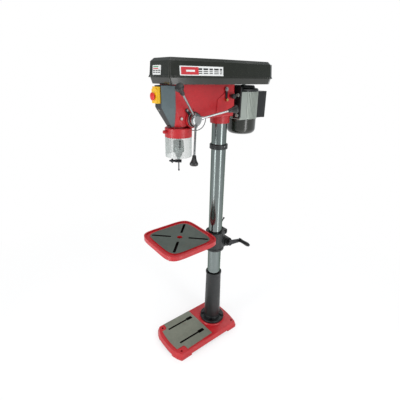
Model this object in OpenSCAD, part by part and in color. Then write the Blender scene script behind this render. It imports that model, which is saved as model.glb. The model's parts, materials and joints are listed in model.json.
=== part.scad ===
// Floor-standing drill press: cast base, round column, tilting rack-lifted table, belt-driven head.
// Millimetres. Origin: centre of the four anchor holes, on the floor. +Z up, -Y to the operator,
// +X to the operator's right, where the feed levers and the table crank are.

/* [Frame] */
// Height from the floor to the top of the belt cover
total_h = 1650; // [1640:1:1690]
// Distance between the spindle axis and the column axis
throat = 260; // [258:1:262]
// Outside diameter of the column
column_d = 80; // [79:0.5:81]
// Wall thickness of the column tube
column_wall = 6; // [4:0.5:10]
// Height of the top rim of the column support
support_h = 425; // [400:5:450]

/* [Base] */
// Width of the base at the floor
base_w = 280; // [275:1:300]
// Length of the straight sides of the base at the floor
base_l = 450; // [440:1:470]
// Height of the painted top face of the base
base_h = 43; // [40:1:46]
// Spacing of the anchor holes across the base
anchor_dx = 220; // [210:1:224]
// Spacing of the anchor holes along the base
anchor_dy = 410; // [400:1:416]
// Diameter of the anchor holes
anchor_d = 13; // [10:0.5:16]

/* [Table] */
// Width of the square table
table_w = 322; // [300:1:330]
// Height of the table surface above the floor
table_z = 758; // [700:1:800]
// Diameter of the hole in the middle of the table
table_hole_d = 30; // [20:1:32]
// Width of the four diagonal slots
slot_w = 14; // [10:0.5:16]

/* [Head] */
// Width of the head casting
head_w = 128; // [124:1:132]
// Travel of the quill
quill_travel = 80; // [60:1:80]
// Diameter of the quill
quill_d = 64; // [63:0.5:65]
// Height of the feed shaft
feed_z = 1395; // [1393:1:1397]
// Length of a feed lever from the shaft axis to the middle of its knob
lever_reach = 190; // [150:1:210]
// Outward lean of the feed levers
lever_lean = 18; // [10:1:22]

/* [Drive] */
// Outer radii of the spindle pulley's steps, from the bottom
spindle_steps = [74, 68, 62, 56];
// Outer radii of the idler pulley's steps, from the bottom
idler_steps = [56, 62, 68, 74];
// Outer radii of the motor pulley's steps, from the bottom
motor_steps = [44, 38, 32, 26];
// Radius of the finned motor housing
motor_r = 81; // [78:0.5:82]

/* [Hidden] */
$fn = 48;

fit = 0.04;                                  // radial running clearance
gap = 0.3;                                   // clearance between parts that only pass each other
column_y = 125;
column_r = column_d / 2;
seat_z = base_h + 7;                         // top of the boss under the column support
spindle_y = column_y - throat;
tray_z = total_h - 104.5;                    // underside of the pulley tray = top of the head
seam_z = total_h - 74;                       // joint between tray and lid
head_hw = head_w / 2;
head_front = spindle_y - 56;
switch_y = head_front - 49;                  // front face of the nose, behind the switch
switch_low = tray_z - 79;                    // bottom of the switch box
stop_z = tray_z - 50;                        // height of the stop button
flap_y = switch_y - 15.8;                    // hinge of the flap over the switch
flap_z = tray_z - 14;
head_rear = column_y + 40;
funnel_top = tray_z - 97;                    // where the spindle housing starts to narrow
funnel_z = feed_z - 33;                      // bottom of the spindle housing
boss_z = feed_z - 70;                        // bottom of the guard's clamping boss
quill_r = quill_d / 2;
quill_bottom = feed_z - 85;
quill_top = feed_z + 105;
rod_z0 = tray_z - 53.5;                      // height of the motor's slide rods
motor_y = 285;
motor_low = tray_z - 173.5;                  // bottom of the finned housing
motor_high = tray_z - 36.5;                  // top of the finned housing
idler_y = (spindle_y + motor_y) / 2;
step_h = 17;
pulley_z = tray_z + 10.5;                    // underside of every step pulley
level = [for (i = [0:3]) pulley_z + step_h * (i + 0.5)];

rack_m = 2;                                  // module of both racks and pinions
rack_p = PI * rack_m;
feed_teeth = 13;
feed_pr = rack_m * feed_teeth / 2;
feed_line = spindle_y + quill_r - 3.5;       // pitch line of the quill's teeth
feed_y = feed_line + feed_pr;
lift_teeth = 16;
lift_pr = rack_m * lift_teeth / 2;
lift_line = column_y + column_r + 6.5;       // pitch line of the table rack
lift_y = lift_line + lift_pr;
lift_z = table_z - 118;

collar_z = 1220;                             // underside of the rack collar
bracket_z0 = table_z - 162;
bracket_z1 = table_z - 42;
tilt_z = table_z - 106;
tilt_face = column_y - 73;
stem_r = 20;
slot_in = 55;                                // inner and outer ends of the table slots
slot_out = 150;

guard_r = 65;
guard_top = feed_z - 40;
guard_z = feed_z - 83;                       // joint between collar and shield
shield_z = feed_z - 178;
guard_pin = [-guard_r - 1, spindle_y];
chuck_top = feed_z - 102;
sleeve_top = feed_z - 133.5;
sleeve_low = feed_z - 158;
nose_z = feed_z - 182;
key_z = feed_z - 205;
key_angle = 52;
jaw_tilt = 10;
jaw_r = 3.5;
bar_r = 3;

pointer = [spindle_y + 2.5, feed_z + 42, 8]; // depth pointer's screw: Y, Z and radius of its eye
dial_x = head_hw + 3.6;
hub_x0 = head_hw + 8.8;
hub_x1 = head_hw + 31.3;
hub_r = 30;
lever_x = head_hw + 18.3;
lever_angles = [13, 133, 253];
flange_angles = [60, 180, 300];

red = [0.72, 0.05, 0.05];
black = [0.06, 0.06, 0.07];
iron = [0.34, 0.36, 0.33];
steel = [0.72, 0.73, 0.74];

// ---------- helpers ----------

// Arc that rounds the corner b of the outline a-b-c with radius r
function corner(a, b, c, r, n) = r == 0 ? [b] :
    let (u = (a - b) / norm(a - b), v = (c - b) / norm(c - b), g = acos(u * v),
        m = b + (u + v) / norm(u + v) * r / sin(g / 2), t = r / tan(g / 2),
        s = b + u * t - m, e = b + v * t - m, f = 180 - g)
    [for (k = [0:n]) m + (s * sin((n - k) / n * f) + e * sin(k / n * f)) / sin(f)];

// Closed outline p with every corner rounded by r
function rounded(p, r, n = 5) = let (q = len(p))
    [for (i = [0:q - 1]) each corner(p[(i + q - 1) % q], p[i], p[(i + 1) % q], r, n)];

// Rectangle outline
function rect(x0, x1, y0, y1) = [[x0, y0], [x1, y0], [x1, y1], [x0, y1]];

// Outline mirrored to both sides of the Y axis
function both_sides(p) = concat(p, [for (i = [len(p) - 1:-1:0]) [-p[i].x, p[i].y]]);

// Nearly square outline with bowed sides and round corners
function bowed(half, power, n = 96) = [for (i = [0:n - 1]) let (a = 360 * i / n, c = cos(a), s = sin(a))
    half * [sign(c) * pow(abs(c), 2 / power), sign(s) * pow(abs(s), 2 / power)]];

module rod_z(z0, z1, r, x = 0, y = 0) { translate([x, y, z0]) cylinder(r = r, h = z1 - z0); }

module rod_x(x0, x1, r, y, z) { translate([x0, y, z]) rotate([0, 90, 0]) cylinder(r = r, h = x1 - x0); }

module rod_y(y0, y1, r, x, z) { translate([x, y0, z]) rotate([-90, 0, 0]) cylinder(r = r, h = y1 - y0); }

// Extrudes a profile drawn in Y and Z along X
module prism_x(x0, x1) { translate([x0, 0, 0]) rotate([90, 0, 90]) linear_extrude(x1 - x0) children(); }

// Extrudes a profile drawn in X and Z along Y
module prism_y(y0, y1) { translate([0, y1, 0]) rotate([90, 0, 0]) linear_extrude(y1 - y0) children(); }

module plate(points, z0, z1) { translate([0, 0, z0]) linear_extrude(z1 - z0) polygon(points); }

module box(x0, x1, y0, y1, z0, z1) { translate([x0, y0, z0]) cube([x1 - x0, y1 - y0, z1 - z0]); }

// Ring about a vertical axis
module ring(r0, r1, z0, z1, x = 0, y = 0) {
    difference() {
        rod_z(z0, z1, r1, x, y);
        rod_z(z0 - 1, z1 + 1, r0, x, y);
    }
}

// Solid between two thin outlines
module loft(low, z0, high, z1) {
    hull() {
        plate(low, z0, z0 + 0.1);
        plate(high, z1 - 0.1, z1);
    }
}

// Hexagon head and shank of a bolt that points down
module hex_bolt(r, length) {
    cylinder(r = r * 1.9, h = r * 1.3, $fn = 6);
    translate([0, 0, -length]) cylinder(r = r, h = length + 0.5);
}

// Socket cap screw whose head stands on z = 0 and whose shank points down
module cap_screw(r, length) {
    difference() {
        cylinder(r = r * 1.7, h = r * 1.8);
        translate([0, 0, r]) cylinder(r = r * 0.9, h = r * 2, $fn = 6);
    }
    translate([0, 0, -length]) cylinder(r = r, h = length + 0.5);
}

// One flank of an involute tooth, as distance and angle from the tooth's centre line
function flank(rb, half, tip, n = 4) = [for (k = [0:n]) let (t = tip * k / n)
    [rb * sqrt(1 + t * t), half + 0.854 - (t * 180 / PI - atan(t))]];

// Outline of a 20 degree spur pinion with a tooth on the +X axis
function pinion(m, z, slack) =
    let (rp = m * z / 2, rb = rp * cos(20), ra = rp + m, tip = sqrt(ra * ra / rb / rb - 1),
        half = 90 / z - slack / rp * 45 / PI, f = flank(rb, half, tip), root = rp - 1.25 * m)
    [for (i = [0:z - 1]) let (a = 360 * i / z)
        each concat([root * [cos(a - half - 1), sin(a - half - 1)]],
            [for (p = f) p[0] * [cos(a - p[1]), sin(a - p[1])]],
            [for (k = [len(f) - 1:-1:0]) f[k][0] * [cos(a + f[k][1]), sin(a + f[k][1])]],
            [root * [cos(a + half + 1), sin(a + half + 1)]])];

// Tooth line of a rack in Y and Z: the teeth point to +Y, with a gap at z = middle
function rack_line(line, middle, before, after, slack) =
    let (h = rack_p / 4 - slack / 2, dt = rack_m * tan(20), dr = 1.25 * rack_m * tan(20))
    [for (i = [-before:after - 1]) let (c = middle + (i + 0.5) * rack_p)
        each [[line - 1.25 * rack_m, c - h - dr], [line + rack_m, c - h + dt],
            [line + rack_m, c + h - dt], [line - 1.25 * rack_m, c + h + dr]]];

// ---------- base and column ----------

// Outline of the base at a given inset; the front and rear edges are bowed
function base_outline(inset) = let (w = base_w / 2 - inset, l = base_l / 2 - inset)
    rounded(concat([for (k = [-5:5]) [w * k / 5 * 0.985, -l - 31 * (1 - pow(abs(k) / 5, 3))]],
        [[w, -l + 6], [w, l - 6]], [for (k = [5:-1:-5]) [w * k / 5 * 0.97, l + 14 * (1 - k * k / 25)]],
        [[-w, l - 6], [-w, -l + 6]]), 4, 2);

// Outline of the machined pad, notched round the front anchor holes
function pad_outline() = let (f = -base_l / 2 - 4, n = anchor_dx / 2 - 24)
    concat([for (k = [-4:4]) [n * k / 4, f + 8 * k * k / 16]],
        [[n, -176], [n + 14, -168], [122, -168], [117, 30], [-base_w / 2 + 9, 22], [-base_w / 2 + 9, -184],
        [-n - 14, -184], [-n, -192]]);

module anchor_points() {
    for (sx = [-1, 1], sy = [-1, 1])
        translate([sx * anchor_dx / 2, sy * anchor_dy / 2, 0]) children();
}

module t_slot(x) {
    box(x - 6, x + 6, -180, 5, 24, 60);
    box(x - 11, x + 11, -38, 5, 24, 60);
    box(x - 11, x + 11, -180, 5, 24, 34);
}

module base() {
    color(red) difference() {
        union() {
            difference() {
                loft(base_outline(0), 12, base_outline(7), base_h);
                loft(base_outline(10), 11, base_outline(17), base_h - 10);
            }
            intersection() {
                plate(base_outline(0), 0, 16);
                union() for (sx = [-1, 1], sy = [-1, 1])
                    translate([sx * (base_w / 2 - 32), sy * (base_l / 2 - 14), 8])
                        cube([76, 124, 16.2], center = true);
            }
            plate(pad_outline(), base_h - 12, base_h + 3);
            for (x = [-74, 58]) box(x - 19, x + 19, -200, 20, 14, base_h);
            for (y = [-100, 10]) box(-base_w / 2 + 14, base_w / 2 - 14, y - 4, y + 4, 14, base_h - 9);
            box(-4, 4, -base_l / 2 + 10, base_l / 2 - 12, 14, base_h - 9);
            rod_z(12, base_h, 76, 0, column_y);
            translate([0, column_y, base_h - 2]) cylinder(r1 = 90, r2 = 84, h = seat_z - base_h + 2);
            anchor_points() cylinder(r = 17, h = base_h - 5);
        }
        anchor_points() translate([0, 0, -1]) cylinder(d = anchor_d, h = base_h + 2);
        for (x = [-74, 58]) t_slot(x);
        rod_z(-1, base_h - 3, column_r - 6, 0, column_y);
        support_bolt_places() translate([0, 0, -30]) cylinder(r = 6.3, h = 60);
    }
}

module support_bolt_places() {
    for (a = [45:90:315])
        translate([67 * cos(a), column_y + 67 * sin(a), seat_z]) rotate([0, 0, a]) children();
}

module column_support() {
    color(black) difference() {
        translate([0, column_y, seat_z]) rotate_extrude() difference() {
            polygon([[20, 0], [80, 0], [80, 12], [77, 15], [55, 15], [54.5, 25], [53, 27], [52.5, 34],
                [47, support_h - seat_z - 16], [50, support_h - seat_z - 12],
                [50, support_h - seat_z - 2], [48, support_h - seat_z], [20, support_h - seat_z]]);
            square([column_r + 0.02, support_h]);
        }
        ring(column_r - 0.5, 47.3, support_h - 6, support_h + 1, 0, column_y);
        support_bolt_places() translate([0, 0, -1]) cylinder(r = 6.3, h = 40);
    }
}

module support_bolts() {
    color(black) support_bolt_places() translate([0, 0, 15]) hex_bolt(6, 42);
}

module column() {
    color(steel) ring(column_r - column_wall, column_r, seat_z + 0.5, tray_z - 83.5, 0, column_y);
}

module rack_collar() {
    color(black) difference() {
        translate([0, column_y, collar_z]) rotate_extrude() polygon([[column_r + 0.02, 0], [47, 0],
            [49, 2], [49, 24], [47, 26], [column_r + 0.02, 26]]);
        ring(column_r - 0.5, 47.3, collar_z - 1, collar_z + 6, 0, column_y);
        rod_x(40, 60, 3.04, column_y, collar_z + 17);
    }
}

module table_rack() {
    inner = column_y + column_r + 0.4;
    low = support_h - 5.5;
    high = collar_z + 5.5;
    tongue = column_y + 46.2;
    before = floor((lift_z - support_h) / rack_p) - 1;
    after = floor((collar_z - lift_z) / rack_p) - 1;
    line = rack_line(lift_line, lift_z, before, after, 0.5);
    color([0.2, 0.2, 0.2]) prism_x(-8, 8) polygon(concat([[inner, low], [tongue, low],
        [tongue, support_h + 4], [lift_line - 1.25 * rack_m, support_h + 4]], line,
        [[lift_line - 1.25 * rack_m, collar_z - 4],
        [tongue, collar_z - 4], [tongue, high], [inner, high]]));
}

// ---------- table ----------

module table_bracket() {
    color(black) difference() {
        union() {
            rod_z(bracket_z0, bracket_z1, 54, 0, column_y);
            rod_z(bracket_z0, bracket_z0 + 12, 57, 0, column_y);
            rod_z(bracket_z1 - 20, bracket_z1, 57, 0, column_y);
            rod_y(tilt_face, column_y - 20, 38, 0, tilt_z);
            rod_x(-30, 56, 27, lift_y, lift_z);
            box(-30, 48, column_y + 20, lift_y, lift_z - 27, lift_z + 27);
            for (x = [-24, 4]) prism_x(x, x + 20) polygon(rounded([[column_y + 20, bracket_z1 - 42],
                [column_y + 78, bracket_z1 - 34], [column_y + 78, bracket_z1],
                [column_y + 20, bracket_z1]], 11));
        }
        rod_z(bracket_z0 - 1, bracket_z1 + 1, column_r + 0.06, 0, column_y);
        box(-8.6, 8.6, column_y, lift_line + 4.2, bracket_z0 - 1, bracket_z1 + 1);
        box(-4, 4, column_y + 30, column_y + 90, lift_z + 30, bracket_z1 + 1);
        rod_x(-13, 13, lift_pr + rack_m + 1.2, lift_y, lift_z);
        rod_x(-40, 70, 10 + fit, lift_y, lift_z);
        rod_x(-40, 40, 6.2, column_y + 62, bracket_z1 - 16);
        rod_y(tilt_face - 1, column_y - column_r + 6, 8.1, 0, tilt_z);
    }
}

module tilt_bolt() {
    color(steel) translate([0, tilt_face - 22.6, tilt_z]) rotate([90, 0, 0]) hex_bolt(8, 52);
}

module crank_shaft() {
    end_y = lift_y + 91;
    end_z = lift_z - 15;
    color(black) {
        rod_x(-34, 60, 10, lift_y, lift_z);
        translate([0, lift_y, lift_z]) prism_x(-11, 11) rotate([0, 0, 180])
            polygon(pinion(rack_m, lift_teeth, 0.3));
        rod_x(57, 76, 17, lift_y, lift_z);
        prism_x(62, 71) polygon([[lift_y - 2, lift_z - 14], [end_y, end_z - 10], [end_y, end_z + 10],
            [lift_y + 2, lift_z + 14]]);
        rod_x(60, 74, 12.5, end_y, end_z);
        rod_x(70, 142, 6, end_y, end_z);
        rod_x(140, 144, 8.5, end_y, end_z);
    }
}

module crank_grip() {
    color([0.03, 0.03, 0.03]) translate([74.5, lift_y + 91, lift_z - 15]) rotate([0, 90, 0]) rotate_extrude()
        polygon([[6 + fit, 0], [9.5, 0], [11.5, 3], [11, 20], [12.5, 48], [11.5, 61], [9, 65],
            [6 + fit, 65]]);
}

module bracket_lock() {
    y = column_y + 62;
    z = bracket_z1 - 16;
    color(black) {
        rod_x(-44, 30, 6, y, z);
        rod_x(-48, -27, 10.5, y, z);
        translate([-40, y, z]) rotate([-38, 0, 0]) translate([0, 0, 4]) cylinder(r1 = 5, r2 = 3.6, h = 66);
        translate([-40, y, z]) rotate([-38, 0, 0]) translate([0, 0, 68]) sphere(r = 6);
    }
}

module table_arm() {
    face = tilt_face - 0.2;
    color(black) difference() {
        union() {
            rod_y(face - 22, face, 38, 0, tilt_z);
            hull() {
                rod_y(face - 20, face - 12, 33, 0, tilt_z, $fn = 32);
                rod_z(tilt_z - 8, table_z - 38, 33, 0, spindle_y, $fn = 32);
            }
            rod_z(tilt_z - 12, table_z - 37, 36, 0, spindle_y);
            prism_y(spindle_y - 54, spindle_y - 20)
                polygon(rounded(rect(-20, 20, tilt_z + 16, tilt_z + 52), 8));
        }
        rod_z(tilt_z - 20, table_z - 30, stem_r + 0.06, 0, spindle_y);
        box(-2, 2, spindle_y - 60, spindle_y, tilt_z - 20, table_z - 30);
        rod_x(-30, 30, 5.1, spindle_y - 44, tilt_z + 34);
        rod_y(face - 30, face + 1, 8.3, 0, tilt_z);
        rod_y(face - 40, face - 21.9, 17, 0, tilt_z);
    }
}

module table_lock() {
    y = spindle_y - 44;
    z = tilt_z + 34;
    color(black) {
        rod_x(-24, 40, 5, y, z);
        rod_x(20.5, 44, 9, y, z);
        translate([36, y, z]) rotate([118, 0, 0]) cylinder(r1 = 4.5, r2 = 3.5, h = 52);
        translate([36, y, z]) rotate([118, 0, 0]) translate([0, 0, 52]) sphere(r = 5.5);
    }
}

module table() {
    half = table_w / 2;
    low = table_z - 24;
    color(red) translate([0, spindle_y, 0]) difference() {
        union() {
            difference() {
                plate(bowed(half, 5.6), low, table_z);
                plate(bowed(half - 8, 5.6), low - 1, table_z + 1);
            }
            plate(bowed(half - 6, 5.6), table_z - 15, table_z - 6);
            plate(bowed(half - 28, 5.6), table_z - 12, table_z - 1);
            for (a = [0:90:270]) rotate([0, 0, a]) box(20, half - 6, -4, 4, low, table_z - 14);
            for (a = [45:90:315]) rotate([0, 0, a])
                box(slot_in - 14, slot_out + 14, -15, 15, low, table_z - 11);
            rod_z(table_z - 36, table_z - 12, 42);
            rod_z(tilt_z - 14, table_z - 12, stem_r);
        }
        rod_z(tilt_z - 20, table_z + 1, table_hole_d / 2);
        for (a = [45:90:315]) rotate([0, 0, a]) {
            for (q = [[slot_w / 2, table_z - 13, 15], [slot_w / 2 + 4, low + 2.5, 10]]) {
                box(slot_in, slot_out, -q[0], q[0], q[1], q[1] + q[2]);
                for (x = [slot_in, slot_out]) rod_z(q[1], q[1] + q[2], q[0] - 0.01, x, 0);
            }
        }
    }
}

// ---------- head ----------

// Plan of the spindle housing below its straight part
function funnel_low() = [for (i = [0:35]) [0, spindle_y] + 48 * [cos(i * 10), sin(i * 10)]];

// Side view of the raised clamping pad on each side of the head
function side_pad() = rounded([[column_y - 84, feed_z + 12], [head_rear - 8, feed_z + 12],
    [head_rear - 8, feed_z + 112], [column_y - 32, feed_z + 112], [column_y - 77, feed_z + 82]], 3, 3);

module head_outside() {
    top = rect(-head_hw, head_hw, head_front, spindle_y + 50);
    intersection() {
        prism_x(-head_hw, head_hw) polygon(rect(spindle_y + 40, head_rear, funnel_z + 30, tray_z));
        prism_y(head_front, head_rear)
            polygon(rounded(rect(-head_hw, head_hw, funnel_z + 30, tray_z + 20), 16));
        plate(rounded(rect(-head_hw, head_hw, head_front - 60, head_rear), 14), 0, tray_z);
    }
    loft(top, funnel_top, top, tray_z);
    loft(funnel_low(), funnel_z, rounded(rect(-head_hw, head_hw, head_front, spindle_y + 66), 3),
        funnel_top + 0.1);
    rod_z(boss_z, funnel_z + 5, 38, 0, spindle_y);
    translate([0, column_y, funnel_z - 5]) cylinder(r1 = 50, r2 = 54, h = 60);
    rod_x(0, head_hw, 40, feed_y, feed_z);
    rod_x(20, head_hw - 4, 9, spindle_y - 24, feed_z + 6);
    rod_x(30, head_hw, 10, pointer.x, pointer.y);
    rod_x(-head_hw, 0, 34, feed_y, feed_z);
    for (side = [0, 1]) mirror([side, 0, 0]) prism_x(0, head_hw + 3) polygon(side_pad());
}

module head_casting() {
    color(red) difference() {
        union() {
            difference() {
                head_outside();
                box(-head_hw + 9, head_hw - 9, head_front + 9, head_rear - 9, feed_z + 32, tray_z + 1);
            }
            rod_z(feed_z, tray_z, 42, 0, spindle_y);
            rod_z(feed_z, tray_z - 76, 52, 0, column_y);
            for (x = [-38, 38]) rod_y(head_rear - 90, head_rear - 4, 16, x, rod_z0);
        }
        rod_z(boss_z - 1, tray_z - 34, quill_r + fit, 0, spindle_y);
        rod_z(tray_z - 36, tray_z - 28, 22, 0, spindle_y);
        rod_z(tray_z - 29, tray_z + 1, 31 + fit, 0, spindle_y);
        rod_z(funnel_z - 10, tray_z - 82, column_r + 0.02, 0, column_y);
        rod_x(-head_hw - 1, head_hw + 1, 12 + fit, feed_y, feed_z);
        rod_x(-17, 17, feed_pr + rack_m + 0.8, feed_y, feed_z);
        rod_x(head_hw - 16, head_hw, 4.02, spindle_y - 24, feed_z + 6);
        rod_x(head_hw - 9.5, head_hw + 1, 2.54, pointer.x, pointer.y);
        for (x = [-38, 38]) rod_y(head_rear - 100, head_rear + 1, 10 + fit, x, rod_z0);
        rod_x(0, head_hw + 5, 6 + fit, column_y - 25, tray_z - 22);
        rod_x(40, head_hw + 5, 5 + fit, column_y + 8, rod_z0);
        for (z = [feed_z + 20, feed_z + 52]) rod_x(-head_hw - 5, -column_r + 4, 5.05, column_y, z);
    }
}

// Every socket cap screw of the head: [position, rotation, thread radius, length]
function screw_places() = concat(
    [for (z = [feed_z + 20, feed_z + 52]) [[-head_hw - 3, column_y, z], [0, -90, 0], 5, 20]],
    [[[0, head_front - 42.9, funnel_top - 10], [122, 0, 0], 2.5, 5]]);

module cap_screws() {
    color(steel) {
        for (s = screw_places()) translate(s[0]) rotate(s[1]) cap_screw(s[2], s[3]);
        for (a = flange_angles)
            rod_x(head_hw + 0.2, head_hw + 3, 2.5, feed_y + 28 * cos(a), feed_z + 28 * sin(a));
        rod_x(head_hw - 9, head_hw + 3.6, 2.5, pointer.x, pointer.y);
        translate([head_hw + 3.5, pointer.x, pointer.y]) rotate([0, 90, 0]) cap_screw(2.5, 0.2);
        rod_x(column_r + 1, 48.6, 3, column_y, collar_z + 17);
        rod_x(head_hw - 16, head_hw - 3.9, 4, spindle_y - 24, feed_z + 6);
        translate([head_hw - 4, spindle_y - 24, feed_z + 6]) rotate([0, 90, 0])
            cylinder(r = 6.5, h = 5, $fn = 6);
    }
}

// Plan of the nose cover at a given inset
function nose_plan(back, front, tip, inset) = let (b = back - inset, t = tip - inset)
    [[b, head_front - 0.3], [b, head_front - 4], [t, front + inset], [-t, front + inset],
    [-b, head_front - 4], [-b, head_front - 0.3]];

module nose_shape(inset) {
    hull() {
        plate(nose_plan(head_hw + 1, switch_y, 27, inset), tray_z - 5.6 - inset, tray_z - 5.5 - inset);
        plate(nose_plan(head_hw + 1, switch_y, 27, inset), funnel_top, funnel_top + 0.1);
    }
    hull() {
        plate(nose_plan(head_hw + 1, switch_y, 27, inset), funnel_top, funnel_top + 0.1);
        plate([[34 - inset, spindle_y - 20], [30 - inset, spindle_y - 36],
            [20 - inset, spindle_y - 51 + inset], [inset - 20, spindle_y - 51 + inset],
            [inset - 30, spindle_y - 36], [inset - 34, spindle_y - 20]],
            funnel_z + inset, funnel_z + inset + 0.1);
    }
}

module nose_cover() {
    color(black) difference() {
        nose_shape(0);
        nose_shape(3.5);
        loft(rect(-head_hw - 0.2, head_hw + 0.2, head_front - 0.2, 0), funnel_top, rect(-head_hw - 0.2,
            head_hw + 0.2, head_front - 0.2, 0), tray_z + 5);
        hull() {
            plate(rect(-head_hw - 3, head_hw + 3, head_front - 0.2, 0), funnel_top + 0.1, funnel_top + 0.2);
            rod_z(funnel_z - 1, funnel_z, 48.4, 0, spindle_y, $fn = 36);
        }
        translate([0, head_front - 42.9, funnel_top - 10]) rotate([122, 0, 0])
            translate([0, 0, -8]) cylinder(r = 2.55, h = 12);
    }
}

module switch_box() {
    f = switch_y;
    color([0.95, 0.72, 0.02]) difference() {
        prism_y(f - 13, f) polygon(rounded(rect(-20, 20, switch_low, tray_z - 10), 3, 3));
        prism_y(f - 14, f - 4) polygon(rect(-16.5, 16.5, switch_low + 3.5, tray_z - 20));
    }
    color(black) difference() {
        box(-16.3, 16.3, f - 8, f - 3.9, switch_low + 3.7, tray_z - 20.2);
        rod_y(f - 20, f, 6 + fit, 0, tray_z - 31);
    }
    color(steel) rod_x(-17, 17, 1.5, flap_y, flap_z);
    color([0.95, 0.72, 0.02]) for (x = [-19.5, 13.5])
        box(x, x + 6, f - 16, f - 12.5, tray_z - 18, tray_z - 10);
}

module switch_flap() {
    f = switch_y;
    color([0.95, 0.72, 0.02]) difference() {
        union() {
            prism_y(f - 20, f - 13.4) polygon(rounded(rect(-20, 20, switch_low, tray_z - 19), 3, 3));
            box(-13, 13, f - 18, f - 13.6, tray_z - 20, tray_z - 13);
            rod_x(-13, 13, 2.5, flap_y, flap_z);
        }
        rod_x(-30, 30, 1.5 + fit, flap_y, flap_z);
        prism_y(f - 17.5, f - 13) polygon(rect(-16.5, 16.5, switch_low + 3.5, tray_z - 24));
        rod_y(f - 21, f - 10, 9 + fit, 0, stop_z);
    }
}

module stop_button() {
    color([0.8, 0.04, 0.03]) translate([0, switch_y - 16, stop_z]) rotate([90, 0, 0]) rotate_extrude()
        polygon([[0, 0], [9, 0], [9, 8.5], [15.8, 9.5], [16.8, 12], [16, 15], [10, 17.6], [0, 18.5]]);
}

module start_button() {
    color([0.05, 0.5, 0.15]) translate([0, switch_y - 6.8, tray_z - 31]) rotate([90, 0, 0]) rotate_extrude()
        polygon([[0, 0], [6, 0], [6, 5], [5.2, 5.8], [0, 5.8]]);
}

// ---------- feed ----------

module feed_flange() {
    root = [feed_y - 20.4, feed_z + 22];
    along = ([pointer.x, pointer.y] - root) / norm([pointer.x, pointer.y] - root);
    across = [-along.y, along.x];
    color(black) difference() {
        union() {
            translate([head_hw + 0.1, feed_y, feed_z]) rotate([0, 90, 0]) rotate_extrude()
                polygon([[16, 0], [35, 0], [35, 2.4], [34.2, 3.2], [16, 3.2]]);
            rod_x(head_hw + 0.1, head_hw + 3.1, pointer[2], pointer.x, pointer.y);
            prism_x(head_hw + 0.1, head_hw + 3.1) polygon([root - 7 * across, root + 7 * across,
                [pointer.x, pointer.y] + 7.5 * across, [pointer.x, pointer.y] - 7.5 * across]);
        }
        for (a = flange_angles)
            rod_x(head_hw - 1, head_hw + 10, 2.54, feed_y + 28 * cos(a), feed_z + 28 * sin(a));
        rod_x(head_hw - 1, head_hw + 10, 2.54, pointer.x, pointer.y);
    }
}

module feed_shaft() {
    color(steel) {
        rod_x(-head_hw - 24, -20, 8, feed_y, feed_z);
        rod_x(-head_hw, -15, 12, feed_y, feed_z);
        rod_x(15, hub_x1 - 6, 12, feed_y, feed_z);
        translate([0, feed_y, feed_z]) prism_x(-15, 15) rotate([0, 0, 180])
            polygon(pinion(rack_m, feed_teeth, 0.3));
    }
}

// Places its children along a feed lever: local +Z runs outwards, away from the shaft
module on_lever(a) {
    translate([lever_x, feed_y, feed_z]) rotate([a - 90, 0, 0]) rotate([0, lever_lean, 0]) children();
}

module feed_hub() {
    color(steel) difference() {
        union() {
            translate([hub_x0, feed_y, feed_z]) rotate([0, 90, 0]) rotate_extrude()
                polygon([[0, 0], [hub_r - 2, 0], [hub_r, 2], [hub_r, 14], [hub_r - 5, 19.5],
                    [16, 22.5], [0, 22.5]]);
            for (a = lever_angles) on_lever(a) translate([0, 0, 14]) cylinder(r = 9, h = 22);
        }
        rod_x(hub_x0 - 1, hub_x1 - 5.8, 12.02, feed_y, feed_z);
        for (a = lever_angles) on_lever(a) translate([0, 0, 16]) cylinder(r = 5.02, h = 40);
    }
}

module feed_rods() {
    color(steel) for (a = lever_angles) on_lever(a)
        translate([0, 0, 16]) cylinder(r = 5, h = lever_reach - 2);
}

module feed_knobs() {
    color(black) for (a = lever_angles) on_lever(a) translate([0, 0, lever_reach - 26]) rotate_extrude()
        polygon([[5.02, 0], [8.5, 0], [9.5, 8], [11, 18], [15, 28], [19.5, 36], [20, 41], [18, 46], [12, 49],
            [0, 50], [0, 42], [5.02, 42]]);
}

module depth_dial() {
    color(steel) difference() {
        translate([dial_x, feed_y, feed_z]) rotate([0, 90, 0]) rotate_extrude()
            polygon([[12 + fit, 0], [33.4, 0], [34, 0.6], [34, 4.2], [33.4, 4.8], [12 + fit, 4.8]]);
        for (i = [0:35]) translate([dial_x + 2.4, feed_y, feed_z]) rotate([i * 10, 0, 0])
            translate([0, 0, 34]) cube([i % 3 == 0 ? 3.2 : 2, 0.6, 0.8], center = true);
    }
}

module spring_cap() {
    color(black) difference() {
        translate([-head_hw - 0.1, feed_y, feed_z]) rotate([0, -90, 0]) rotate_extrude()
            polygon([[0, 0], [34, 0], [34, 24], [31, 27], [0, 27]]);
        rod_x(-head_hw - 24.5, -head_hw + 1, 31, feed_y, feed_z);
        rod_x(-head_hw - 40, -head_hw, 8.4, feed_y, feed_z);
        for (a = [0:60:300]) translate([0, feed_y, feed_z]) rotate([a, 0, 0])
            box(-head_hw - 30, -head_hw - 16, -4, 4, 31.8, 36);
    }
}

module return_spring() {
    turns = 5;
    n = turns * 20;
    function coil(k, t) = (10.5 + 18 * k / n + t) * [cos(k * 18), sin(k * 18)];
    color(steel) translate([0, feed_y, feed_z]) prism_x(-head_hw - 20, -head_hw - 4)
        polygon(concat([for (k = [0:n]) coil(k, 0)], [for (k = [n:-1:0]) coil(k, 1.2)]));
}

// ---------- chuck guard ----------

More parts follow.
